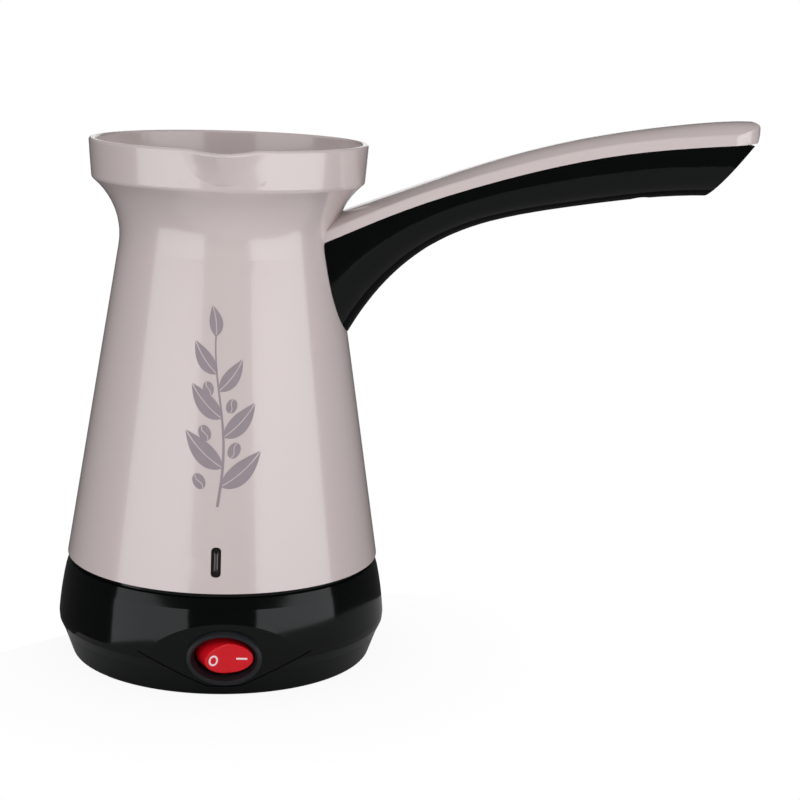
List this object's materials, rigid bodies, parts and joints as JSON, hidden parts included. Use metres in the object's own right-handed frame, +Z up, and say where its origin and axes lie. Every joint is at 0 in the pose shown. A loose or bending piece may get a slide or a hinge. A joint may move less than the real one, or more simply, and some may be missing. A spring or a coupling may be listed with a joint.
{
  "type": "electric turkish coffee maker",
  "caption": "Tall waisted pot with a pouring lip and a long side handle, on a round black heating base with an oval rocker switch.",
  "frame": {"origin": "the pot's axis in the plane that it stands on", "axes": "+Z up, +X along the handle, -Y towards the switch, pilot window and pouring lip"},
  "size_m": [0.2166, 0.1082, 0.1736],
  "materials": {
    "pot_gloss": "glossy mushroom-coloured moulding",
    "black_gloss": "glossy black moulding",
    "black_satin": "satin black",
    "rocker_red": "glossy red",
    "smoked_lens": "smoked, glossy",
    "stainless": "brushed stainless steel",
    "zinc_steel": "zinc-plated steel",
    "aluminium": "plain",
    "element_sheath": "heat-darkened steel sheath",
    "silicone": "grey silicone",
    "rubber_black": "matt black",
    "ceramic": "white ceramic",
    "phenolic": "dark brown phenolic",
    "nylon_white": "natural nylon",
    "brass": "plain",
    "lamp_glass": "clear glass",
    "lead_brown": "brown insulation",
    "lead_blue": "blue insulation",
    "lead_green": "green and yellow insulation",
    "lead_white": "heatproof sleeve"
  },
  "bodies": {
    "housing": {"pot_body": "pot_gloss", "handle_grip": "black_gloss", "handle_screws": "zinc_steel", "heating_plate": "stainless", "plate_gasket": "silicone", "clamp_ring": "zinc_steel", "clamp_screws": "zinc_steel", "diffuser_disc": "aluminium", "heating_element": "element_sheath", "element_terminals": "ceramic", "thermostat": "phenolic", "thermostat_strap": "zinc_steel", "strap_nuts": "zinc_steel", "thermal_fuse": "zinc_steel", "base_housing": "black_gloss", "pot_screws": "zinc_steel", "base_cover": "black_satin", "cover_screws": "zinc_steel", "cord_inlet_bush": "rubber_black", "terminal_block": "nylon_white", "block_sleeves": "brass", "switch_frame": "black_satin", "switch_terminals": "brass", "neon_lamp": "lamp_glass", "indicator_lens": "smoked_lens", "pilot_lamp": "lamp_glass", "live_lead": "lead_brown", "switch_lead": "lead_brown", "element_lead": "lead_white", "neutral_lead": "lead_blue", "earth_lead": "lead_green", "lamp_leads": "lead_white"},
    "rocker": {"switch_rocker": "rocker_red", "rocker_plunger": "nylon_white", "rocker_spring": "zinc_steel"},
    "lever": {"contact_lever": "brass"}
  },
  "joints": [
    {"name": "rocker_tilt", "type": "hinge", "parent": "housing", "child": "rocker", "pos_m": [0.003, -0.046, 0.0129], "axis": [0, 0, -1], "range_deg": [0, 28]},
    {"name": "lever_tilt", "type": "hinge", "parent": "housing", "child": "lever", "pos_m": [0.003, -0.041, 0.0129], "axis": [0, 0, -1], "range_deg": [-8.4, 0]}
  ],
  "couplings": [
    {"joint": "lever_tilt", "follows": "rocker_tilt", "ratio": -0.3}
  ]
}
